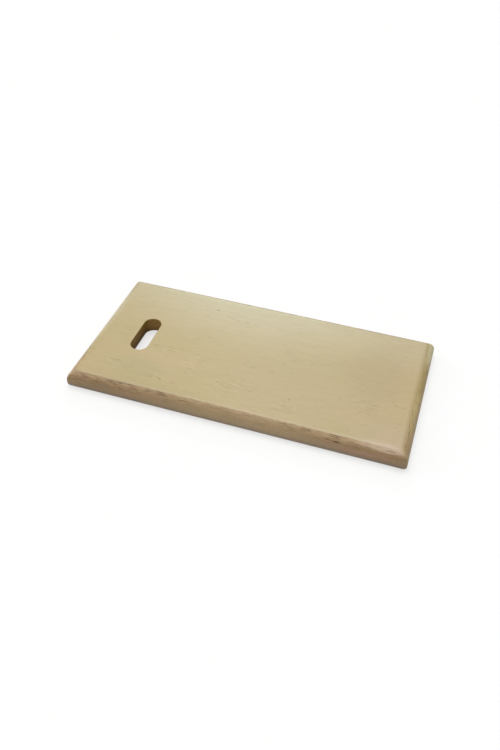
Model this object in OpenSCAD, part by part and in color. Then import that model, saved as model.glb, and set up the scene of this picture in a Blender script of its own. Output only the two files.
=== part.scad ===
// Transfer board: a thick plywood board that a person slides across between two seats.
// It is pressed from thin birch plies whose grain crosses from one ply to the next, with a
// film of glue between each two. The long upper and lower edges are rounded over, the
// roundings meet in a mitre at the corners, and a hand slot goes through near one end.
// Origin: middle of the underside, on the surface it lies on. +X runs along the board, away
// from the hand slot; +Y runs across it; +Z is up, through the plies.

/* [Board] */
// Length, end to end
board_l = 610; // [400:1:900]
// Width, edge to edge
board_w = 305; // [200:1:450]
// Thickness of the pressed board
board_t = 32; // [26.5:0.5:45]

/* [Edges] */
// Radius of the round-over along the upper edges
top_r = 19; // [3:0.5:24]
// Radius of the round-over along the lower edges
bottom_r = 7; // [1:0.5:12]
// Radius of the four corners seen from above
corner_r = 1.5; // [0.5:0.5:15]

/* [Hand slot] */
// Length of the slot, across the board
slot_l = 92.5; // [60:0.5:140]
// Width of the slot, along the board
slot_w = 33; // [22:0.5:50]
// Wood left between the slot and the end of the board
slot_margin = 75.5; // [40:0.5:150]
// How far the middle of the slot lies from the board's centre line, along +Y
slot_shift = -7; // [-50:0.5:50]
// Radius that eases the slot's upper rim
slot_top_r = 1; // [0.5:0.25:4]
// Radius of the round-over along the slot's lower rim
slot_bottom_r = 7; // [1:0.5:12]

/* [Plies] */
// Number of plies, which is odd
plies = 23; // [5:2:45]
// Thickness of the sanded outer plies
face_t = 1.25; // [0.6:0.05:2]
// Thickness of a film of glue
glue_t = 0.1; // [0.05:0.01:0.2]

/* [Hidden] */
// The press lays an odd number of plies, so that both faces have their grain along the board
cross_plies = (plies - 1) / 2;
long_plies = cross_plies - 1;
top_ply = plies - 1;

// Thickness of an inner ply: what the outer plies and the films of glue leave
ply_t = (board_t - 2 * face_t - (plies - 1) * glue_t) / (plies - 2);

slot_r = slot_w / 2;
slot_straight = slot_l - slot_w;
slot_x = slot_margin + slot_r - board_l / 2;

// Extra length of a cutter past the wood that it cuts
over = 2;
$fn = 96;

face_colour = "#c6b48d";
long_colour = "#b59b70";
cross_colour = "#8f7650";
glue_colour = "#5b4128";

// Height of a ply's underside; ply 0 is the back veneer
function ply_z(i) = i == 0 ? 0 : face_t + glue_t + (i - 1) * (ply_t + glue_t);
function ply_h(i) = i == 0 || i == top_ply ? face_t : ply_t;
function two_digits(n) = n < 10 ? str("0", n) : str(n);

// What a round-over cutter takes off a square corner at the origin, with the wood towards
// +X and +Y
module corner_waste(r) {
    difference() {
        translate([-over, -over]) square(r + over);
        translate([r, r]) circle(r);
    }
}

// Outline of the board seen along an edge: square sides rounded over above and below
module edge_outline(width) {
    difference() {
        translate([-width / 2, 0]) square([width, board_t]);
        for (turn = [0, 1]) mirror([turn, 0]) translate([-width / 2, 0]) {
            corner_waste(bottom_r);
            translate([0, board_t]) mirror([0, 1]) corner_waste(top_r);
        }
    }
}

// Outline of the board seen from above
module plan_outline() {
    difference() {
        square([board_l, board_w], center = true);
        for (turn_x = [0, 1], turn_y = [0, 1]) mirror([turn_x, 0]) mirror([0, turn_y])
            translate([-board_l / 2, -board_w / 2]) corner_waste(corner_r);
    }
}

// Outline of the slot: straight sides and half-round ends
module slot_outline() {
    square([slot_w, slot_straight], center = true);
    for (end = [-1, 1]) translate([0, end * slot_straight / 2]) circle(slot_r);
}

// What a round-over cutter takes off the slot's rim, run once around it, with the wood above
module rim_waste(r) {
    for (turn = [0, 180]) rotate([0, 0, turn]) {
        translate([0, slot_straight / 2, 0]) rotate_extrude(angle = 180)
            translate([slot_r, 0]) corner_waste(r);
        rotate([90, 0, 0]) linear_extrude(slot_straight, center = true)
            translate([slot_r, 0]) corner_waste(r);
    }
}

// All that the slot takes out of the board
module hand_slot() {
    translate([slot_x, slot_shift, 0]) {
        translate([0, 0, -over]) linear_extrude(board_t + 2 * over) slot_outline();
        rim_waste(slot_bottom_r);
        translate([0, 0, board_t]) mirror([0, 0, 1]) rim_waste(slot_top_r);
    }
}

// The finished shape that all the plies and films share
module finished_board() {
    difference() {
        intersection() {
            rotate([90, 0, 90]) linear_extrude(board_l, center = true) edge_outline(board_w);
            rotate([90, 0, 0]) linear_extrude(board_w, center = true) edge_outline(board_l);
            linear_extrude(board_t) plan_outline();
        }
        hand_slot();
    }
}

// A sheet wider than the board, before the board is cut from the pressed stack
module sheet(z, h) {
    translate([-board_l / 2 - over, -board_w / 2 - over, z])
        cube([board_l + 2 * over, board_w + 2 * over, h]);
}

module ply(i) {
    intersection() {
        finished_board();
        sheet(ply_z(i), ply_h(i));
    }
}

// Sanded outer ply on the upper side, which the person slides on; its grain runs along X
module face_veneer() { color(face_colour) ply(top_ply); }

// Sanded outer ply on the underside, which lies on the two seats; its grain runs along X
module back_veneer() { color(face_colour) ply(0); }

// Inner plies with their grain across the board, numbered from the underside
module cross_ply(n) { color(cross_colour) ply(2 * n - 1); }

// Inner plies with their grain along the board, numbered from the underside
module long_ply(n) { color(long_colour) ply(2 * n); }

// The films of glue between the plies, each a thin solid of its own
module glue_films() {
    color(glue_colour) intersection() {
        finished_board();
        for (i = [0 : top_ply - 1]) sheet(ply_z(i) + ply_h(i), glue_t);
    }
}

back_veneer();
for (n = [1 : cross_plies])
    cross_ply(n);
for (n = [1 : long_plies])
    long_ply(n);
face_veneer();
glue_films();
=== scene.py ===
# %% [markdown]
# # A plywood transfer board
#
# A person who can't stand lays this board from a wheelchair seat to a bed and slides across it.
# The real one is a rectangle of thick plywood, rounded over along every edge, with one hand slot
# near an end. It is taken to be birch, of 23 thin plies glued with their grain crossed: neither
# the kind of wood nor the number of plies could be seen for certain.
#
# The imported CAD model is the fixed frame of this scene. It has every ply at its true size, but
# its surfaces are plain triangles. Each cell below either models a piece that takes a ply's
# place or makes one of the finishes, and says why it is done in that way.

# %% Load the frame
import math

import bmesh
import bpy
from mathutils import Matrix, Vector


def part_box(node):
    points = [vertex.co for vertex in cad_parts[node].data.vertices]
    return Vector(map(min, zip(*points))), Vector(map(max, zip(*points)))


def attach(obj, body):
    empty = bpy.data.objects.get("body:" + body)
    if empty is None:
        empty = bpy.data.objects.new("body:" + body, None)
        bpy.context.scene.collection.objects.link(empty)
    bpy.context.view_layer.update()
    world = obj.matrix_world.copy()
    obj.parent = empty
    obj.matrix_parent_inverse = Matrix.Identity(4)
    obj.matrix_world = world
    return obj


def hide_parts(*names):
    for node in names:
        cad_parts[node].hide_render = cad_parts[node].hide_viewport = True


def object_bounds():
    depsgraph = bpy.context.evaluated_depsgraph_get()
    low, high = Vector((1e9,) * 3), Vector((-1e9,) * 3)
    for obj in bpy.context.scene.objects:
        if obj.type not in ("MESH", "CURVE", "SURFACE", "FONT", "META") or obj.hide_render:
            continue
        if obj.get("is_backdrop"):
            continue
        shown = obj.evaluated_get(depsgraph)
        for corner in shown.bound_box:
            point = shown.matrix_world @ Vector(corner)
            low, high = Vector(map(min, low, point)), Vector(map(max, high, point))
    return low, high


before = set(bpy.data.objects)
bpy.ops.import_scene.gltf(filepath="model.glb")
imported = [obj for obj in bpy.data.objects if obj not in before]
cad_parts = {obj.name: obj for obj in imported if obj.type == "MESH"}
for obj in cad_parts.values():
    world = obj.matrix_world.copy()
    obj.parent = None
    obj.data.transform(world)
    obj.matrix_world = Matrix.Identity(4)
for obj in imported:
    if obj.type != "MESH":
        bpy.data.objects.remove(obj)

MM = 0.001
cad_low, cad_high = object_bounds()
board_size = cad_high - cad_low
print("board, in mm:", [round(side / MM, 1) for side in board_size])

# %% [markdown]
# ## The camera
#
# The camera comes first, because everything after it is judged through it. It stands a little
# to the right of the board's middle and looks down at about 43 degrees, from near enough that
# the far end is clearly smaller than the near one. It is placed as a person would say it: how far
# round, how high, how far away, and what it points at.

# %% Place the camera
CAMERA_ROUND = math.radians(17.46)
CAMERA_HEIGHT = math.radians(43.04)
CAMERA_DISTANCE = 1.342
CAMERA_TILT = math.radians(1.16)
CAMERA_TARGET = Vector((0.8, -34.3, 16)) * MM
LENS_MM, SENSOR_MM = 35.83, 36

look_back = Vector(
    (
        math.sin(CAMERA_ROUND) * math.cos(CAMERA_HEIGHT),
        -math.cos(CAMERA_ROUND) * math.cos(CAMERA_HEIGHT),
        math.sin(CAMERA_HEIGHT),
    )
)
camera_data = bpy.data.cameras.new("camera")
camera_data.lens = LENS_MM
camera_data.sensor_width = SENSOR_MM
camera = bpy.data.objects.new("camera", camera_data)
bpy.context.scene.collection.objects.link(camera)
aim = look_back.to_track_quat("Z", "Y").to_matrix().to_4x4()
tilt = Matrix.Rotation(CAMERA_TILT, 4, "Z")
stand = Matrix.Translation(CAMERA_TARGET + look_back * CAMERA_DISTANCE)
camera.matrix_world = stand @ aim @ tilt
bpy.context.scene.camera = camera
print("camera stands at", [round(c, 3) for c in camera.matrix_world.translation])

# %% [markdown]
# ## The whole board, before it is sliced
#
# The real board is shaped once, after the plies are pressed together, so the cutters run
# smoothly from ply to ply. It is modelled in the same order here: one solid board first, with
# its edges rounded and its slot cut, and only then sliced at the glue lines. Rounding each ply by
# itself would leave a step in the shading at each of the 22 joints.
#
# Edit-mode operators act on what is selected, so small helpers come first. One makes an object
# the only active one. One selects the edges that pass a test on their two ends. The others
# bevel what is selected and take one object's shape out of another.

# %% Helpers for edit mode
def make_active(piece):
    """Deselects everything else and makes this object the active one."""
    if bpy.context.mode != "OBJECT":
        bpy.ops.object.mode_set(mode="OBJECT")
    bpy.ops.object.select_all(action="DESELECT")
    piece.select_set(True)
    bpy.context.view_layer.objects.active = piece


def select_edges(piece, test):
    """In edit mode, selects only the edges whose two ends, as vectors, pass the test."""
    bpy.ops.mesh.select_mode(type="EDGE")
    bpy.ops.mesh.select_all(action="DESELECT")
    mesh = bmesh.from_edit_mesh(piece.data)
    chosen = 0
    for edge in mesh.edges:
        if test(edge.verts[0].co, edge.verts[1].co):
            edge.select_set(True)
            chosen += 1
    bmesh.update_edit_mesh(piece.data)
    return chosen


def round_over(radius, segments):
    """Bevels the selected edges to a quarter circle."""
    bpy.ops.mesh.bevel(
        offset=radius, offset_type="OFFSET", segments=segments, profile=0.5,
        affect="EDGES", clamp_overlap=False,
    )


def near(a, b):
    """True for two lengths that differ by less than a hundredth of a millimetre."""
    return abs(a - b) < 0.01 * MM


def both_at(height):
    """A test for an edge that lies level at this height."""
    return lambda a, b: near(a.z, height) and near(b.z, height)


def cut_away(piece, tool):
    """Takes the tool's shape out of the piece with a boolean, and deletes the tool."""
    make_active(piece)
    cut = piece.modifiers.new("cut", "BOOLEAN")
    cut.operation = "DIFFERENCE"
    cut.solver = "EXACT"
    cut.object = tool
    bpy.ops.object.modifier_apply(modifier=cut.name)
    bpy.data.objects.remove(tool)


print("helpers for edit mode are ready")


# %% [markdown]
# ### Edges
#
# The edges are shaped as a hand router leaves them: a 19 mm quarter-round along the four upper
# edges, and one of 7 mm along the four lower ones. Where two passes meet at a corner they leave
# a mitre, and a bevel along the same edges meets in a mitre too, which is why a bevel and not a
# subdivided cage is used. The sharp line of the mitre is then eased with sandpaper: a bevel of
# 4 mm that follows it from top to bottom.

# %% Cut the board to size and round its edges
TOP_ROUND = 19 * MM
BOTTOM_ROUND = 7 * MM
MITRE_EASE = 4 * MM
TOP_STRIPS, BOTTOM_STRIPS, MITRE_STRIPS = 48, 20, 4
length, width, thickness = board_size

bpy.ops.object.select_all(action="DESELECT")
bpy.ops.mesh.primitive_cube_add(size=1, location=(0, 0, thickness / 2))
board = bpy.context.object
board.name = "whole_board"
bpy.ops.transform.resize(value=(length, width, thickness))
bpy.ops.object.transform_apply(location=True, rotation=True, scale=True)

bpy.ops.object.mode_set(mode="EDIT")
select_edges(board, both_at(thickness))
round_over(TOP_ROUND, TOP_STRIPS)
select_edges(board, both_at(0))
round_over(BOTTOM_ROUND, BOTTOM_STRIPS)


def on_mitre(point):
    """True where a point is as far in from the board's end as it is from the board's side."""
    return near(length / 2 - abs(point.x), width / 2 - abs(point.y))


def leans(a, b):
    """True for an edge whose two ends are at different heights."""
    return abs(a.z - b.z) > 0.0001 * MM


mitres = select_edges(board, lambda a, b: on_mitre(a) and on_mitre(b) and leans(a, b))
print("edges along the four mitres:", mitres)
round_over(MITRE_EASE, MITRE_STRIPS)
bpy.ops.object.mode_set(mode="OBJECT")
print("board has", len(board.data.polygons), "faces")

# %% [markdown]
# ### The hand slot
#
# The slot is a hole with straight sides and half-round ends, near the left end of the board. The
# CAD model has already settled where it lies, and typing its numbers again would let the two
# drift apart. So its place is read from the upper ply in the frame: the slot's walls are the only
# upright faces that lie well inside the board.

# %% Find the slot in the frame
SLOT_TOP_EASE = 1 * MM
WELL_INSIDE = 30 * MM
BELOW_EASE = SLOT_TOP_EASE + 0.1 * MM


def on_slot_outline(point):
    """True for a point of the upper ply that lies well inside the board, below the eased rim."""
    inside_x = abs(point.x) < length / 2 - WELL_INSIDE
    inside_y = abs(point.y) < width / 2 - WELL_INSIDE
    return inside_x and inside_y and point.z < thickness - BELOW_EASE


face_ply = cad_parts["face_veneer"]
wall_points = [v.co for v in face_ply.data.vertices if on_slot_outline(v.co)]
slot_low = Vector((min(p.x for p in wall_points), min(p.y for p in wall_points), 0))
slot_high = Vector((max(p.x for p in wall_points), max(p.y for p in wall_points), thickness))
slot_middle = (slot_low + slot_high) / 2
slot_width, slot_length = slot_high.x - slot_low.x, slot_high.y - slot_low.y
print("slot, in mm:", round(slot_width / MM, 2), "x", round(slot_length / MM, 2))
print("slot's middle, in mm:", [round(c / MM, 2) for c in slot_middle])

# %% [markdown]
# ### Cutting the slot
#
# On the real board a router follows a template, and two round-over cutters then run round the
# rims: 1 mm above, and 7 mm below, as along the board's own lower edges, so that fingers can
# curl under it. Here a block whose four upright edges are bevelled by half its width is the
# cutter, since the bevels meet in half-round ends. A boolean takes it out of the board, and
# bevels on the two rims do what the round-over cutters did. Extruding the rims by hand would
# need a ring of faces round the slot first, and the bevel makes that ring itself.

# %% Cut the slot and round its rims
CUTTER_PAST = 10 * MM
CUTTER_STRIPS, EASE_STRIPS, RIM_STRIPS = 32, 4, 16
OUTLINE_SLACK = Vector((0.1, 0.1, 0)) * MM

bpy.ops.object.select_all(action="DESELECT")
bpy.ops.mesh.primitive_cube_add(size=1, location=slot_middle)
cutter = bpy.context.object
cutter.name = "slot_cutter"
bpy.ops.transform.resize(value=(slot_width, slot_length, thickness + 2 * CUTTER_PAST))
bpy.ops.object.transform_apply(location=True, rotation=True, scale=True)
bpy.ops.object.mode_set(mode="EDIT")
select_edges(cutter, leans)
round_over(slot_width / 2, CUTTER_STRIPS)
bpy.ops.mesh.select_all(action="SELECT")
bpy.ops.mesh.remove_doubles(threshold=0.01 * MM)
bpy.ops.object.mode_set(mode="OBJECT")
cut_away(board, cutter)


def in_slot(point, slack):
    """True for a point in the slot's box seen from above, or outside it by up to the slack."""
    inside_x = slot_low.x - slack.x < point.x < slot_high.x + slack.x
    return inside_x and slot_low.y - slack.y < point.y < slot_high.y + slack.y


def rim_at(height):
    """A test for an edge of the slot's rim at this height."""
    level = both_at(height)
    return lambda a, b: level(a, b) and in_slot(a, OUTLINE_SLACK) and in_slot(b, OUTLINE_SLACK)


bpy.ops.object.mode_set(mode="EDIT")
rim = select_edges(board, rim_at(thickness))
round_over(SLOT_TOP_EASE, EASE_STRIPS)
select_edges(board, rim_at(0))
round_over(BOTTOM_ROUND, RIM_STRIPS)
bpy.ops.object.mode_set(mode="OBJECT")
print("slot rim has", rim, "edges; board has", len(board.data.polygons), "faces")

# %% [markdown]
# ### Slicing the board at its glue lines
#
# Birch plywood is birch plies about 1.3 mm thick with brown films of glue between them. The frame
# says at what height each ply lies, so the whole board is copied once for each ply and
# cut by two level planes, and each cut is filled, so that every piece is a closed solid. The
# edges of a cut are marked sharp, or the shading of the rounded edge would bend towards the
# hidden flat face under the next ply.

# %% Slice the plies
SAME_POINT = 0.001 * MM


def layer(name, low, high):
    """A copy of the part of the whole board that lies between two heights, closed at its cuts."""
    piece = board.copy()
    piece.data = board.data.copy()
    piece.name = piece.data.name = name
    bpy.context.scene.collection.objects.link(piece)
    make_active(piece)
    bpy.ops.object.mode_set(mode="EDIT")
    for height, keep_above in ((low, True), (high, False)):
        on_a_face = near(height, 0) or near(height, thickness)
        if on_a_face:
            continue
        bpy.ops.mesh.select_all(action="SELECT")
        bpy.ops.mesh.bisect(
            plane_co=(0, 0, height), plane_no=(0, 0, 1), use_fill=True,
            clear_inner=keep_above, clear_outer=not keep_above, threshold=SAME_POINT,
        )
        bpy.ops.mesh.mark_sharp()
    bpy.ops.object.mode_set(mode="OBJECT")
    return piece


ply_nodes = [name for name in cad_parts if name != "glue_films"]
ply_nodes.sort(key=lambda name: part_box(name)[0].z)
ply_heights = [(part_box(name)[0].z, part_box(name)[1].z) for name in ply_nodes]
plies = {}
for ply_name, (low, high) in zip(ply_nodes, ply_heights):
    plies[ply_name] = layer("birch_" + ply_name, low, high)
thinnest = min(high - low for low, high in ply_heights)
print(len(plies), "plies, the thinnest", round(thinnest / MM, 2), "mm")

# %% [markdown]
# ### A gap in a ply
#
# A cross ply is laid from several narrow sheets, and where two of them don't quite meet, the cutter
# opens a small hollow in the edge. This board has one near the right end of its near edge. It is a
# stretched ball, taken out of the one ply by a boolean: 14 mm long, and a little lower than
# the ply is thick, so that its ends run out to points.

# %% Cut the gap in the near edge
CORE_GAP = Vector((186, -148.9, 24.4)) * MM
CORE_GAP_HALVES = Vector((7, 2, 0.62)) * MM
JUST_OUTSIDE = 1.1
BALL_SEGMENTS, BALL_RINGS = 32, 16


def in_core_gap(point):
    """True for a point on the wall of the gap."""
    reach = [abs(point[i] - CORE_GAP[i]) / CORE_GAP_HALVES[i] for i in range(3)]
    return sum(r * r for r in reach) < JUST_OUTSIDE


gap_ply = next(
    name for name, (low, high) in zip(ply_nodes, ply_heights) if low < CORE_GAP.z < high
)
bpy.ops.object.select_all(action="DESELECT")
bpy.ops.mesh.primitive_uv_sphere_add(
    segments=BALL_SEGMENTS, ring_count=BALL_RINGS, radius=1, location=CORE_GAP
)
hollow = bpy.context.object
bpy.ops.transform.resize(value=CORE_GAP_HALVES)
bpy.ops.object.transform_apply(location=True, rotation=True, scale=True)
cut_away(plies[gap_ply], hollow)
print("gap cut in", gap_ply, "which now has", len(plies[gap_ply].data.polygons), "faces")

# %% [markdown]
# ### The films of glue
#
# The press squeezes the glue out to a tenth of a millimetre. Each film is a slice of the whole
# board too, between the top of one ply and the underside of the next, so the brown lines lie
# exactly in the rounded surface. A line drawn by a material would need to know each ply's
# height, and would stop being true as soon as the number of plies changed. The 22 films are
# joined, because they are one piece in the CAD model too.

# %% Slice the films of glue
films = []
for (_, film_low), (film_high, _) in zip(ply_heights, ply_heights[1:]):
    films.append(layer("glue_film", film_low, film_high))
make_active(films[0])
for film in films:
    film.select_set(True)
bpy.ops.object.join()
glue = bpy.context.object
glue.name = "glue_lines"
print(len(films), "films of glue in one piece with", len(glue.data.polygons), "faces")

# %% [markdown]
# ### Shading the round-overs
#
# The rounding is made of 48 narrow strips, which would show as facets on lacquered wood.
# Shading by angle smooths every edge flatter than 35 degrees and keeps those of the cuts sharp.
# Weighted normals then let the large flat faces win, so the flat face stays flat right up
# to the line where the round-over begins.

# %% Smooth the rounded edges
SMOOTH_BELOW = math.radians(35)
LARGE_FACES_WIN = 100

for piece in [*plies.values(), glue]:
    make_active(piece)
    bpy.ops.object.shade_smooth_by_angle(angle=SMOOTH_BELOW, keep_sharp_edges=True)
    even = piece.modifiers.new("even_shading", "WEIGHTED_NORMAL")
    even.keep_sharp = True
    even.weight = LARGE_FACES_WIN
    bpy.ops.object.modifier_apply(modifier=even.name)
bpy.data.objects.remove(board)
print("smoothed", len(plies) + 1, "pieces")

# %% [markdown]
# ### One piece for each CAD part
#
# The board has no joint, so every piece rides on the one body, "root". Each ply stands for the
# CAD ply of the same name, which is then hidden. The frame's record says which kind of material
# each part is made of.

# %% Put the pieces in the CAD nodes' places
for node_name, piece in [*plies.items(), ("glue_films", glue)]:
    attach(piece, "root")
    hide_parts(node_name)
print("replaced", len(plies) + 1, "CAD nodes")

# %% [markdown]
# ## Finishes
#
# Colours are written as the sRGB hex values that a paint program shows. Shaders add and multiply
# light, so they need linear values, and one function converts them. One more function adds a
# shader node with its settings and its links, which keeps each finish readable as a recipe.
# Every finish starts from the principled shader, with a roughness of its own.

# %% Helpers for finishes
def linear(code):
    """A hex colour such as "C5B48E" as the linear red, green, blue and alpha of a shader."""
    channels = [int(code[i : i + 2], 16) / 255 for i in (0, 2, 4)]
    return [c / 12.92 if c <= 0.04045 else ((c + 0.055) / 1.055) ** 2.4 for c in channels] + [1]


def add(tree, kind, inputs=None, **settings):
    """Adds a node, sets it, and fills its inputs with values or with links from other nodes."""
    made = tree.nodes.new("ShaderNode" + kind)
    for setting, value in settings.items():
        setattr(made, setting, value)
    for socket, value in (inputs or {}).items():
        if isinstance(value, bpy.types.Node):
            value = next(output for output in value.outputs if output.enabled)
        if isinstance(value, bpy.types.NodeSocket):
            tree.links.new(value, made.inputs[socket])
        else:
            made.inputs[socket].default_value = value
    return made


def new_finish(name, roughness):
    """A material with a principled shader, its node tree and that shader."""
    material = bpy.data.materials.new(name)
    material.use_nodes = True
    shader = material.node_tree.nodes["Principled BSDF"]
    shader.inputs["Roughness"].default_value = roughness
    return material, material.node_tree, shader


print("BBAB86 is", [round(channel, 3) for channel in linear("BBAB86")], "in linear light")

# %% [markdown]
# ### What a pattern in wood needs
#
# Wood is not a picture on a surface: its fibres run through the solid, so a pattern that reads
# Object coordinates goes over a rounded edge and down into the slot as real grain does. Three
# small recipes are enough for every wood here. Grain is noise stretched along the fibres, with
# its two sizes in millimetres. A spot is a soft oval at a chosen place on the board. A glaze
# lays one colour over another where a pattern says so, as a painter does when graining a door.

# %% Recipes for wood
# A Mix node has three sets of sockets with the same names; these are the ones for colours
MIX_SHARE, MIX_UNDER, MIX_OVER, MIX_RESULT = 0, 6, 7, 2


def grain(tree, fibre, along_mm, across_mm, detail=2.0, shift=0.0):
    """Noise from 0 to 1 whose grains have these sizes along and across the fibres."""
    along, across = 1 / (along_mm * MM), 1 / (across_mm * MM)
    scale = (along, across, across) if fibre == "X" else (across, along, across)
    place = add(tree, "TexCoord").outputs["Object"]
    moved = (shift, 2 * shift, 3 * shift)
    spread = add(tree, "Mapping", {"Vector": place, "Location": moved, "Scale": scale})
    return add(tree, "TexNoise", {"Vector": spread, "Scale": 1.0, "Detail": detail})


def spot(tree, x_mm, y_mm, half_length_mm, half_width_mm, height_mm, half_height_mm):
    """1 in the middle of a soft oval on the board, falling to 0 at its outline."""
    middle = Vector((x_mm, y_mm, height_mm)) * MM
    scale = Vector([1 / (half * MM) for half in (half_length_mm, half_width_mm, half_height_mm)])
    place = add(tree, "TexCoord").outputs["Object"]
    spread = add(tree, "Mapping", {"Vector": place, "Location": -middle * scale, "Scale": scale})
    far = add(tree, "VectorMath", {0: spread}, operation="LENGTH")
    return add(
        tree, "MapRange", {"Value": far, "From Min": 1, "From Max": 0},
        interpolation_type="SMOOTHSTEP",
    )


def glaze(tree, under, over, pattern, start, full, most=1.0):
    """Lays a colour over another where a pattern goes from start, for none, to full, for most."""
    share = add(
        tree, "MapRange",
        {"Value": pattern, "From Min": start, "From Max": full, "To Max": most},
        interpolation_type="SMOOTHSTEP",
    )
    return add(
        tree, "Mix", {MIX_SHARE: share, MIX_UNDER: under, MIX_OVER: over}, data_type="RGBA"
    )


print("recipes ready: grain, spot and glaze")

# %% [markdown]
# ### Rotary-cut birch veneer, sanded and lacquered
#
# The outer plies are peeled from a turning log, so the blade follows a growth ring for a long
# way and meets the next one in wide, pointed flames. Birch is pale and its rings hardly show.
# What the eye finds is, from large to small: slow changes between a greener and a pinker cream,
# the faint edges of rings, and a silky fibre streak. The real fibres are a few hundredths of a
# millimetre wide, too fine to see, so the streaks stand for bundles of them, 1.3 mm wide.
#
# The clouds of tone are places on this one sheet, so each is given in millimetres from the
# board's middle: along x, along y, half its length and half its width. Three of them are painted
# light: the pale, greener cloud over the far half is a painted sheen of the lacquer, the pale strip
# along the left end is painted light on its rounding, and the pale spot at the near-right corner
# is partly pink wood and partly painted light. The underside is another sheet, and a spot reaches
# only a few millimetres down, so it keeps to the upper face.

# %% Lay the figure of the veneer
CREAM, PINK_CREAM = "AF9B6D", "B39C72"
RING_EDGE = "957F55"
FIBRE = "98835A"
RINGS_IN_NOISE = 11.0
SPOT_DEPTH = 20
# The cloud at (0, 230) is a painted sheen; the one at x -300 is painted light on the left end; the
# one at (268, -146) is partly painted light.
FACE_TONES_AND_LIGHT = [
    ("C2BFA6", 0, 230, 700, 300), ("9E9668", -195, -95, 90, 45), ("A48E69", 225, 20, 90, 150),
    ("B09A86", 285, -135, 120, 90), ("A99972", 150, -60, 330, 220), ("A08E60", -170, -150, 240, 60),
    ("C8AE9C", 268, -146, 80, 26), ("B1A280", 270, 120, 170, 110), ("BEC0A6", -300, 60, 22, 220),
]


def face_spot(tree, *place):
    """A spot on the upper face."""
    return spot(tree, *place, thickness / MM, SPOT_DEPTH)


def veneer_figure(tree, fibres):
    """Plain veneer: cream, tone clouds with painted sheen and light, ring edges, fibre streaks."""
    patches = grain(tree, "X", 240, 80, detail=1.0)
    colour = glaze(tree, linear(CREAM), linear(PINK_CREAM), patches, 0.35, 0.65)
    for tone, *place in FACE_TONES_AND_LIGHT:
        colour = glaze(tree, colour, linear(tone), face_spot(tree, *place), 0.0, 0.9, most=0.45)
    flames = grain(tree, "X", 420, 60, detail=1.0, shift=3.7)
    rings = add(tree, "Math", {0: flames, 1: RINGS_IN_NOISE}, operation="MULTIPLY")
    rings = add(tree, "Math", {0: rings}, operation="FRACT")
    colour = glaze(tree, colour, linear(RING_EDGE), rings, 0.45, 0.97, most=0.07)
    return glaze(tree, colour, linear(FIBRE), fibres, 0.35, 0.75, most=0.16)


print(len(FACE_TONES_AND_LIGHT), "clouds of tone on the upper face")

# %% [markdown]
# ### Marks in the veneer
#
# In some patches the blade lifted the fibres, and they lie as short dark and light dashes, about
# 17 mm long and 2 mm wide. A few pin knots are left from thin twigs. Both come from places on
# the sheet, as the clouds of tone do.

# %% Mark the veneer
LIFTED_FIBRES = [
    (-170, -38, 62, 18), (-98, -55, 42, 38), (-235, -98, 60, 24), (-155, -108, 46, 18),
    (-12, -85, 70, 26), (85, -105, 46, 22), (209, -64, 50, 34), (-60, 86, 110, 14),
    (278, -40, 32, 14),
]
LIFT = 0.13
DASH_LONG, DASH_WIDE = 17, 1.8
DARK_DASH, LIGHT_DASH = "7E653A", "DCD0AC"
PIN_KNOTS = [(-140, -113, 3.2, 2.6), (88, -88, 2.8, 2.3), (-110, 104, 6.0, 1.9)]
KNOT = "64502F"


def dashes(tree, lifted, shift):
    """Short grain that is stronger in the patches of lifted fibres."""
    short = grain(tree, "X", DASH_LONG, DASH_WIDE, detail=1.0, shift=shift)
    return add(tree, "Math", {0: short, 1: lifted}, operation="ADD")


def veneer_marks(tree, colour):
    """Adds the lifted fibres and the pin knots to the colour of plain veneer."""
    lifted = 0.0
    for place in LIFTED_FIBRES:
        lifted = add(tree, "Math", {0: face_spot(tree, *place), 1: lifted}, operation="MAXIMUM")
    lifted = add(tree, "Math", {0: lifted, 1: LIFT}, operation="MULTIPLY")
    dark, light = dashes(tree, lifted, 5.3), dashes(tree, lifted, 9.1)
    colour = glaze(tree, colour, linear(DARK_DASH), dark, 0.65, 0.81, most=0.38)
    colour = glaze(tree, colour, linear(LIGHT_DASH), light, 0.65, 0.81, most=0.18)
    for place in PIN_KNOTS:
        colour = glaze(tree, colour, linear(KNOT), face_spot(tree, *place), 0.1, 0.8, most=0.8)
    return colour


print(len(LIFTED_FIBRES), "patches of lifted fibres and", len(PIN_KNOTS), "pin knots")

# %% [markdown]
# ### Where the outer ply is sanded thin, and the painted shade of the crease
#
# Along the rounded rim the sanding has nearly gone through the outer ply, and the brown of the
# glue and of the next ply shines through in ragged patches. The same brown is also painted shade
# along the crease, where the flat face turns into the round-over. The finish measures how deep
# below the nearer of the two faces a point lies and adds noise for the ragged edge. Then it adds
# how much each stretch of rim is darkened, partly as wear and partly as painted crease shade:
# most at the near edge's left half, and least at the two ends.

# %% Sand the rim of the veneer and paint the shade of its crease
FACE_PLY = thickness - ply_heights[-1][0]
NEXT_PLY_AND_CREASE_SHADE = "8F7653"
SANDING_AND_CREASE_SHADE = [
    (0.24, -215, -150, 260, 18, 32, 20), (-0.4, -300, 50, 20, 230, 30, 20),
    (-0.4, 298, 0, 18, 200, 30, 20), (-0.35, 265, -148, 90, 18, 30, 20),
]


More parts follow.
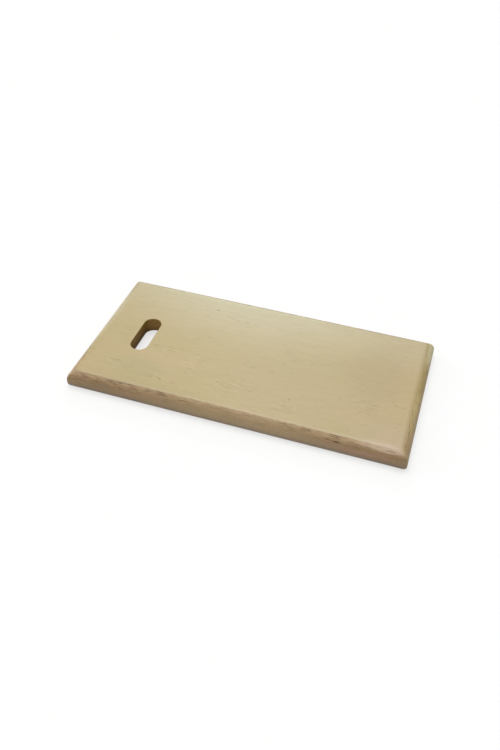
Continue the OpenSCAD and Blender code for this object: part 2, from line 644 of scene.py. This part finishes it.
def sanded_rim_and_crease_shade(tree, colour):
    """Lets the next ply shine through where the outer ply is worn thin, and paints crease shade."""
    height = add(tree, "SeparateXYZ", {0: add(tree, "TexCoord").outputs["Object"]}).outputs["Z"]
    below_face = add(tree, "Math", {0: thickness, 1: height}, operation="SUBTRACT")
    depth = add(tree, "Math", {0: below_face, 1: height}, operation="MINIMUM")
    depth = add(tree, "Math", {0: depth, 1: 1 / (2 * FACE_PLY)}, operation="MULTIPLY")
    ragged = grain(tree, "X", 9, 9, detail=3.0, shift=2.2)
    bared_and_shaded = add(tree, "Math", {0: depth, 1: ragged}, operation="ADD")
    for darkening, *place in SANDING_AND_CREASE_SHADE:
        worn_and_shaded = add(tree, "Math", {0: spot(tree, *place), 1: darkening}, operation="MULTIPLY")
        bared_and_shaded = add(tree, "Math", {0: bared_and_shaded, 1: worn_and_shaded}, operation="ADD")
    # The next ply's brown: partly sanded through, partly painted shade along the crease.
    return glaze(tree, colour, linear(NEXT_PLY_AND_CREASE_SHADE), bared_and_shaded, 0.76, 1.06, most=0.66)


print("outer ply:", round(FACE_PLY / MM, 2), "mm thick")

# %% [markdown]
# ### Satin lacquer
#
# The lacquer is a thin clear film that follows the fibres, so it needs no layer of its own: the
# wood's shader takes the index of a lacquer, 1.5, a middling roughness that varies with the
# fibres, and a bump of two hundredths of a millimetre. At a flat angle it gives part of the soft
# sheen on the far side of the board; the rest is a painted sheen in the veneer's colour.

# %% Make the birch face finish
LACQUER_INDEX = 1.5


def birch_face(name):
    material, tree, shader = new_finish(name, 0.4)
    fibres = grain(tree, "X", 26, 1.3, detail=3.0)
    colour = veneer_figure(tree, fibres)
    colour = veneer_marks(tree, colour)
    colour = sanded_rim_and_crease_shade(tree, colour)
    tree.links.new(colour.outputs[MIX_RESULT], shader.inputs["Base Color"])
    shader.inputs["IOR"].default_value = LACQUER_INDEX
    satin = add(tree, "MapRange", {"Value": fibres, "To Min": 0.34, "To Max": 0.44})
    tree.links.new(satin.outputs[0], shader.inputs["Roughness"])
    relief = add(tree, "Bump", {"Height": fibres, "Distance": 0.02 * MM, "Strength": 0.5})
    tree.links.new(relief.outputs[0], shader.inputs["Normal"])
    return material


face_finish = birch_face("birch_veneer_satin_lacquer")
print(face_finish.name, "has", len(face_finish.node_tree.nodes), "nodes")

# %% [markdown]
# ### Cut edges of the inner plies
#
# Where the cutter went along the fibres the edge is nearly as pale as the face. Where it went
# across them it shows end grain, which drinks lacquer and turns browner. Neighbouring plies have
# their fibres crossed, so one is pale where the next is brown, and they change places
# at the board's corners. How much end grain shows is the angle between the surface and the
# fibres, so the finish measures that from the surface's normal, and one recipe serves all
# four sides. Each ply was peeled from another part of a log, so its tone differs a little: the
# recipe works out which ply it is from its height. The pores of birch are a tenth of a millimetre
# wide, too fine to see, so those of the end grain are drawn 0.8 mm wide.

# %% Lay the grain of a cut ply
PLY_PITCH = ply_heights[2][0] - ply_heights[1][0]
SIDE_GRAIN = ("9B8258", "AD9165")
END_GRAIN = {"X": ("8C7A4C", "A08D5D"), "Y": ("846746", "997956")}
DARKEST_PLY = "6E5A3E"


def ply_grain(tree, fibre, toward, pores, height):
    """Side grain that turns into end grain as the surface turns toward the fibres."""
    fibres = grain(tree, fibre, 24, 0.9, detail=3.0)
    side, side_light = [linear(code) for code in SIDE_GRAIN]
    end, end_light = [linear(code) for code in END_GRAIN[fibre]]
    side_grain = glaze(tree, side, side_light, fibres, 0.3, 0.7)
    end_grain = glaze(tree, end, end_light, pores, 0.35, 0.65)
    colour = glaze(tree, side_grain, end_grain, toward, 0.15, 0.9)
    level = add(tree, "Math", {0: height, 1: ply_heights[1][0]}, operation="SUBTRACT")
    level = add(tree, "Math", {0: level, 1: PLY_PITCH}, operation="DIVIDE")
    level = add(tree, "Math", {0: level}, operation="FLOOR")
    own_tone = add(tree, "TexWhiteNoise", {"W": level}, noise_dimensions="1D")
    return glaze(tree, colour, linear(DARKEST_PLY), own_tone, 0.0, 1.0, most=0.26)


print("one ply and one film of glue:", round(PLY_PITCH / MM, 2), "mm")

# %% [markdown]
# ### What happened to the edges
#
# The cutter tore out short dark splinters and raised pale ones, most of them high on the
# rounding, where it met the plies at a flat angle. The longest dark ones lie in known places
# along the near edge. Sapwood leaves pink and grey blotches. Toward the middle of the near edge
# the wood is paler. Along the left end the paler tone is painted light on the rounding, and high
# on the right end and over the crease at the near-right corner it is partly paler wood and partly
# painted light. A smear of resin stains the right end. The lowest plies are painted darker and
# greyer towards the floor, as painted shade, and round the hollow in the near edge a dark brown
# is painted as the shade in the hollow. All of this lies over the grain as glazes, in the board's
# own places: each is given in millimetres along x, along y, half its length, half its width, its
# height and half of its own height.

# %% Weather the edges, and paint their light and shade
# Tones of the edges. The one at the left end is painted light on the rounding; the two high on the
# right end and the two over the crease at the near-right corner are partly paler wood and partly
# painted light.
EDGE_TONES_AND_LIGHT = [
    ("B59E78", 20, -152, 300, 30, 16, 60), ("C2B478", 297, 0, 16, 190, 29, 10),
    ("DAD8AA", 302, 125, 20, 80, 27, 14), ("CECAAE", -300, 50, 22, 240, 28, 14),
    ("DAC0A6", 262, -146, 85, 14, 30, 7), ("CDB69A", 276, -146, 50, 14, 30, 6),
    ("A8806A", 225, -152, 110, 16, 17, 8),
]
PINK_SAPWOOD, GREY_SAPWOOD = "B08C70", "8B8063"
# Painted shade: a grey that darkens the lowest plies towards the floor, and a dark brown round the
# hollow in the near edge.
FLOOR_SHADE_GREY, GAP_SHADE = "6E6A6A", "4A3B26"
RESIN, RESIN_SMEAR = "8E7636", (301, 40, 12, 80, 26, 10)
TORN, TORN_SCALE = "62452A", Vector((1 / 15, 1 / 15, 1 / 0.7)) / MM
RAISED = "D0B488"
SPLINTER_Y = -147
SPLINTER_HALF_WIDTH, SPLINTER_HALF_HEIGHT = 16, 1.2
# Size of the painted shade round the hollow.
GAP_SHADE_HALVES = (10, 4)
GAP_SHADE_HALF_HEIGHT = 2.0
HIGH_FROM, HIGH_TO, HIGH_ADDS = 18 * MM, 28 * MM, 0.1
FLOOR_SHADE_REACH, FLOOR_SHADE_FULL = 17 * MM, 2 * MM
LONG_SPLINTERS = [
    (275, 28.8, 16), (-202, 30.0, 12), (-176, 29.2, 10), (-148, 29.6, 16), (-122, 28.8, 12),
    (-84, 27.8, 18), (172, 25.0, 12),
]


def splinters(tree):
    """Noise whose grains are 15 mm long and 0.7 mm high."""
    place = add(tree, "TexCoord").outputs["Object"]
    spread = add(tree, "Mapping", {"Vector": place, "Scale": TORN_SCALE})
    return add(tree, "TexNoise", {"Vector": spread, "Scale": 1.0, "Detail": 2.0})


def more_above(tree, pattern, height):
    """Strengthens a pattern high on the rounding."""
    higher = add(
        tree, "MapRange",
        {"Value": height, "From Min": HIGH_FROM, "From Max": HIGH_TO, "To Max": HIGH_ADDS},
    )
    return add(tree, "Math", {0: pattern, 1: higher}, operation="ADD")


def weather(tree, colour, height):
    """Lays blotches, tones, painted light and shade, splinters and resin over a cut ply's grain."""
    blotches = grain(tree, "X", 45, 12, detail=2.0, shift=7.7)
    colour = glaze(tree, colour, linear(PINK_SAPWOOD), blotches, 0.45, 0.65, most=0.30)
    colour = glaze(tree, colour, linear(GREY_SAPWOOD), blotches, 0.45, 0.30, most=0.35)
    torn = splinters(tree)
    raised = add(tree, "Math", {0: 1.0, 1: torn}, operation="SUBTRACT")
    torn, raised = more_above(tree, torn, height), more_above(tree, raised, height)
    colour = glaze(tree, colour, linear(TORN), torn, 0.62, 0.74, most=0.7)
    colour = glaze(tree, colour, linear(RAISED), raised, 0.62, 0.74, most=0.35)
    # Tones of the edges, partly painted light at the ends and the near-right corner.
    for tone, *place in EDGE_TONES_AND_LIGHT:
        colour = glaze(tree, colour, linear(tone), spot(tree, *place), 0.0, 1.0, most=0.5)
    for x, z, half_length in LONG_SPLINTERS:
        splinter = spot(
            tree, x, SPLINTER_Y, half_length, SPLINTER_HALF_WIDTH, z, SPLINTER_HALF_HEIGHT
        )
        colour = glaze(tree, colour, linear(TORN), splinter, 0.1, 0.8, most=0.6)
    # Painted shade: darker and greyer towards the floor.
    colour = glaze(tree, colour, linear(FLOOR_SHADE_GREY), height, FLOOR_SHADE_REACH, FLOOR_SHADE_FULL, most=0.55)
    colour = glaze(tree, colour, linear(RESIN), spot(tree, *RESIN_SMEAR), 0.0, 0.8, most=0.5)
    # Painted shade round the hollow in the near edge.
    gap_x, gap_y, gap_z = CORE_GAP / MM
    gap = spot(tree, gap_x, gap_y, *GAP_SHADE_HALVES, gap_z, GAP_SHADE_HALF_HEIGHT)
    return glaze(tree, colour, linear(GAP_SHADE), gap, 0.0, 0.8, most=0.7)


print(len(EDGE_TONES_AND_LIGHT), "tones on the edges")

# %% [markdown]
# ### The slot's wall
#
# In the slot the cutter turned slowly and left a warm brown scorch. The scorch multiplies the
# colour below it, where a glaze would hide it, and it darkens the wall partly as a scorch and
# partly as painted shade in the recess. Over it comes painted shade and light by which way a wall
# faces: the wall that faces the board's middle is painted darkest low down, and the wall at the
# far end of the slot is painted lighter. The whole wall is painted darker towards the bottom of
# the slot, as painted shade. No lacquer reaches in here, so the wall has little gloss.

# %% Scorch the slot's wall and paint its shade and light
# A scorch, partly real and partly painted shade; the three browns after it are painted shade and
# painted light.
SCORCH_AND_SLOT_SHADE = "EBDC8A"
DEEP_SLOT_SHADE, LOW_SLOT_SHADE, LIT_FAR_END_WALL = "5A4212", "5A3B1A", "C4A065"
SLOT_SHADE_FROM, SLOT_SHADE_FULL = 28 * MM, 4 * MM


def scorch_and_paint_slot_shade(tree, colour, height, facing):
    """Browns a ply's colour with a scorch, and paints the slot's shade and light."""
    colour = add(
        tree, "Mix", {MIX_SHARE: 1.0, MIX_UNDER: colour, MIX_OVER: linear(SCORCH_AND_SLOT_SHADE)},
        data_type="RGBA", blend_type="MULTIPLY",
    )
    low_down = add(
        tree, "MapRange", {"Value": height, "From Min": SLOT_SHADE_FROM, "From Max": SLOT_SHADE_FULL}
    )
    deep = add(tree, "Math", {0: facing.outputs["X"], 1: low_down}, operation="MULTIPLY")
    # Painted shade: darkest low on the wall that faces the board's middle.
    colour = glaze(tree, colour, linear(DEEP_SLOT_SHADE), deep, 0.05, 0.8, most=0.8)
    # Painted light: the wall at the far end of the slot is lighter.
    toward_far_end = facing.outputs["Y"]
    colour = glaze(tree, colour, linear(LIT_FAR_END_WALL), toward_far_end, -0.1, -0.9, most=0.45)
    # Painted shade: darker towards the bottom of the slot.
    return glaze(tree, colour, linear(LOW_SLOT_SHADE), low_down, 0.4, 1.0, most=0.5)


print("SCORCH_AND_SLOT_SHADE keeps", [round(c, 2) for c in linear(SCORCH_AND_SLOT_SHADE)[:3]], "of the wood's colour")

# %% [markdown]
# ### Four finishes for the plies
#
# A ply's finish depends on which way its fibres run and on whether the surface lies in the
# slot, so the same recipe is made four times. Where the surface shows end grain it is
# rougher, and the pores give it a relief of a twentieth of a millimetre.

# %% Make the ply edge finishes
def birch_edge(name, fibre, in_slot_wall=False):
    material, tree, shader = new_finish(name, 0.55)
    coords = add(tree, "TexCoord")
    height = add(tree, "SeparateXYZ", {0: coords.outputs["Object"]}).outputs["Z"]
    facing = add(tree, "SeparateXYZ", {0: coords.outputs["Normal"]})
    toward = add(tree, "Math", {0: facing.outputs[fibre]}, operation="ABSOLUTE")
    pores = grain(tree, fibre, 20, 0.8, detail=2.0, shift=4.4)
    colour = ply_grain(tree, fibre, toward, pores, height)
    colour = weather(tree, colour, height)
    if in_slot_wall:
        colour = scorch_and_paint_slot_shade(tree, colour, height, facing)
        shader.inputs["Specular IOR Level"].default_value = 0.15

    tree.links.new(colour.outputs[MIX_RESULT], shader.inputs["Base Color"])
    shader.inputs["IOR"].default_value = LACQUER_INDEX
    matt = add(tree, "MapRange", {"Value": toward, "To Min": 0.5, "To Max": 0.66})
    tree.links.new(matt.outputs[0], shader.inputs["Roughness"])
    relief = add(tree, "Bump", {"Height": pores, "Distance": 0.05 * MM, "Strength": 0.6})
    tree.links.new(relief.outputs[0], shader.inputs["Normal"])
    return material


edge_finishes = {
    "long": [birch_edge("birch_edge_long_ply", "X"), birch_edge("birch_slot_long_ply", "X", True)],
    "cross": [
        birch_edge("birch_edge_cross_ply", "Y"), birch_edge("birch_slot_cross_ply", "Y", True),
    ],
}
edge_finishes["face"] = edge_finishes["back"] = [face_finish, edge_finishes["long"][1]]
print("edge finishes made:", [finish.name for pair in edge_finishes.values() for finish in pair])

# %% [markdown]
# ### Giving each ply its finish
#
# Each ply carries two materials: one for its outer edge and one for the slot. The slot's
# faces are found by their place and their slope. The flat parts stay with the outer finish,
# since the upper rim of the slot is lacquered with the face. The hollow in the near edge takes
# the slot's finish too, so its inside is darkened with painted shade.

# %% Finish each ply, and its slot wall
WALL_SLOPE = math.radians(50)
STEEP = math.cos(WALL_SLOPE)
RIM_SLACK = Vector((1, 1, 0)) * (BOTTOM_ROUND + 1 * MM)


def on_slot_wall(polygon):
    """True for a steep face of the slot's wall or of its rounded rims."""
    return in_slot(polygon.center, RIM_SLACK) and abs(polygon.normal.z) < STEEP


wall_faces = 0
for ply_name, piece in plies.items():
    for finish in edge_finishes[ply_name.split("_")[0]]:
        piece.data.materials.append(finish)
    for polygon in piece.data.polygons:
        # The hollow's faces take the slot's finish, which paints shade inside it.
        if on_slot_wall(polygon) or in_core_gap(polygon.center):
            polygon.material_index = 1
            wall_faces += 1
print("slot wall faces on all plies:", wall_faces)

# %% [markdown]
# ### Glue lines
#
# The glue is a phenolic resin, dark brown and hard, squeezed out to a line a tenth of a
# millimetre thick. Sanding leaves it matt, and here and there wood dust fills it, so its
# brown comes and goes along the edge.

# %% Make the glue finish
GLUE_BROWN, WOOD_DUST = "4A3420", "826A4A"
DUST_PATCH = 18


def glue_finish(name):
    material, tree, shader = new_finish(name, 0.6)
    dust = grain(tree, "X", DUST_PATCH, DUST_PATCH, detail=3.0)
    colour = glaze(tree, linear(GLUE_BROWN), linear(WOOD_DUST), dust, 0.38, 0.62)
    tree.links.new(colour.outputs[MIX_RESULT], shader.inputs["Base Color"])
    return material


glue.data.materials.append(glue_finish("phenolic_resin_glue"))
print("glue finished")

# %% [markdown]
# ## Floor and light
#
# The board lies on a plain pale floor, a plane under it painted a matt white. The plane lies a
# tenth of a millimetre below the board, because two surfaces at exactly the same height flicker.

# %% Lay the floor
FLOOR_SIZE = 16
FLOOR_GAP = 0.1 * MM
FLOOR_DULL, FLOOR_PALE = "F6F6F5", "F8F8F8"

bpy.ops.object.select_all(action="DESELECT")
bpy.ops.mesh.primitive_plane_add(size=FLOOR_SIZE, location=(0, 0, cad_low.z - FLOOR_GAP))
floor = bpy.context.object
floor.name = "floor"
floor_paint, floor_tree, floor_shader = new_finish("matt_white_paint", 0.9)
on_floor = add(floor_tree, "TexCoord").outputs["Object"]
speckle = add(floor_tree, "TexNoise", {"Vector": on_floor, "Scale": 5.6, "Detail": 2.0})
shade = glaze(floor_tree, linear(FLOOR_DULL), linear(FLOOR_PALE), speckle, 0.3, 0.7)
floor_tree.links.new(shade.outputs[MIX_RESULT], floor_shader.inputs["Base Color"])
floor_shader.inputs["Specular IOR Level"].default_value = 0.0
floor.data.materials.append(floor_paint)
floor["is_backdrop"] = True
print("floor laid", FLOOR_SIZE, "m across")

# %% [markdown]
# ### Opal glass
#
# A product shot is often taken on a sheet of opal glass lit from below, which thins the shadow
# that the board throws, also inside the slot. The sheet here glows a pale grey, covers two
# thirds of the floor's brightness, and only the camera sees it: light passes as if
# it weren't there, so the board's own shading stays as it was. A brighter floor would do
# the same for the shadow, but would throw light up under the rounded edges.

# %% Lay opal glass over the floor
def seen_only_by_the_camera(thing):
    """Light passes as if this object weren't there."""
    thing.visible_diffuse = False
    thing.visible_glossy = False
    thing.visible_transmission = False
    thing.visible_shadow = False


def glowing_finish(name, colour):
    """A matt material that shows one pale colour whatever light falls on it."""
    material, tree, shader = new_finish(name, 1.0)
    shader.inputs["Base Color"].default_value = linear("000000")
    shader.inputs["Specular IOR Level"].default_value = 0.0
    shader.inputs["Emission Color"].default_value = linear(colour)
    shader.inputs["Emission Strength"].default_value = 1.0
    return material, shader


OPAL_COVERS = 0.68
OPAL_GAP = 0.05 * MM

bpy.ops.object.select_all(action="DESELECT")
bpy.ops.mesh.primitive_plane_add(size=FLOOR_SIZE, location=(0, 0, cad_low.z - OPAL_GAP))
opal = bpy.context.object
opal.name = "opal_glass"
opal_glass, opal_shader = glowing_finish("opal_glass", "FAFAF9")
opal_shader.inputs["Alpha"].default_value = OPAL_COVERS
opal.data.materials.append(opal_glass)
seen_only_by_the_camera(opal)
opal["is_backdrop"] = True
print("opal glass hides", OPAL_COVERS, "of the floor and of the shadow on it")

# %% [markdown]
# ### The backdrop
#
# From a low camera the floor ends in a horizon. A ball of white paper stands all round the
# studio, so that the view ends in the same pale tone on every side. It too is seen only by the
# camera.

# %% Put up the backdrop
BACKDROP_RADIUS = 7.5
BACKDROP_SEGMENTS, BACKDROP_RINGS = 96, 48

bpy.ops.object.select_all(action="DESELECT")
bpy.ops.mesh.primitive_uv_sphere_add(
    segments=BACKDROP_SEGMENTS, ring_count=BACKDROP_RINGS, radius=BACKDROP_RADIUS
)
backdrop = bpy.context.object
backdrop.name = "backdrop"
bpy.ops.object.shade_smooth()
backdrop.data.materials.append(glowing_finish("white_backdrop_paper", "FEFEFE")[0])
seen_only_by_the_camera(backdrop)
backdrop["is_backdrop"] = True
print("backdrop stands", round(backdrop.dimensions.x / 2, 1), "m away")

# %% [markdown]
# ### Lamps
#
# The largest light is a softbox, high behind the board and to its left, so the top is bright, the
# near edges fall into shade, and the shadow under the round-over is short and soft. A low window
# behind gives the far side of the lacquer part of its faint cool sheen; the rest is a painted
# sheen in the veneer's colour. Another, low on the left, lights the rounding of the left end, and
# the paler tone painted there as light brings it up to the top's brightness. They are made as
# suns: a sun's light falls evenly over the whole board, and its angle says how soft its shadows
# are.

# %% Hang the lamps
def far_lamp(name, round_degrees, height_degrees, softness_degrees, strength, colour):
    """A lamp so far away that its light falls evenly over the board, and as soft as it is wide."""
    turn, rise = math.radians(round_degrees), math.radians(height_degrees)
    flat = math.cos(rise)
    to_lamp = Vector((math.sin(turn) * flat, -math.cos(turn) * flat, math.sin(rise)))
    light = bpy.data.lights.new(name, "SUN")
    light.angle = math.radians(softness_degrees)
    light.energy = strength
    light.color = linear(colour)[:3]
    lamp = bpy.data.objects.new(name, light)
    aim = to_lamp.to_track_quat("Z", "Y").to_matrix().to_4x4()
    lamp.matrix_world = Matrix.Translation(to_lamp) @ aim
    bpy.context.scene.collection.objects.link(lamp)


far_lamp("softbox", 212, 71, 40, 1.46, "FFFFFF")
far_lamp("window_behind", 197, 26, 14, 0.5, "DEFFFA")
far_lamp("window_left", 256, 15, 40, 0.95, "FFFFFF")

# %% [markdown]
# ### The sky
#
# What the lamps don't reach is lit by the room. Its ceiling is brighter than its walls, so the
# sky brightens smoothly from the horizon to the top, and surfaces that face sideways stay
# darker than those that face up.

# %% Make the sky
SKY_LOW, SKY_HIGH = 0.20, 0.80

sky = bpy.data.worlds.new("studio")
sky.use_nodes = True
glow = sky.node_tree.nodes["Background"]
toward_sky = add(sky.node_tree, "TexCoord").outputs["Generated"]
direction = add(sky.node_tree, "SeparateXYZ", {0: toward_sky})
overhead = add(
    sky.node_tree, "MapRange",
    {"Value": direction.outputs["Z"], "To Min": SKY_LOW, "To Max": SKY_HIGH},
    interpolation_type="SMOOTHSTEP",
)
sky.node_tree.links.new(overhead.outputs[0], glow.inputs["Strength"])
glow.inputs["Color"].default_value = linear("FFFFFF")
bpy.context.scene.world = sky
bpy.context.scene.view_settings.view_transform = "Standard"
print("sky glows from", SKY_LOW, "at the horizon to", SKY_HIGH, "overhead")

# %% Print the sizes and finish
new_low, new_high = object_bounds()
boxes = {"cad": [list(cad_low), list(cad_high)], "visual": [list(new_low), list(new_high)]}
print("CAD box and visual box, in mm:")
for label, (low, high) in boxes.items():
    print(label, [round(c / MM, 2) for c in low], [round(c / MM, 2) for c in high])
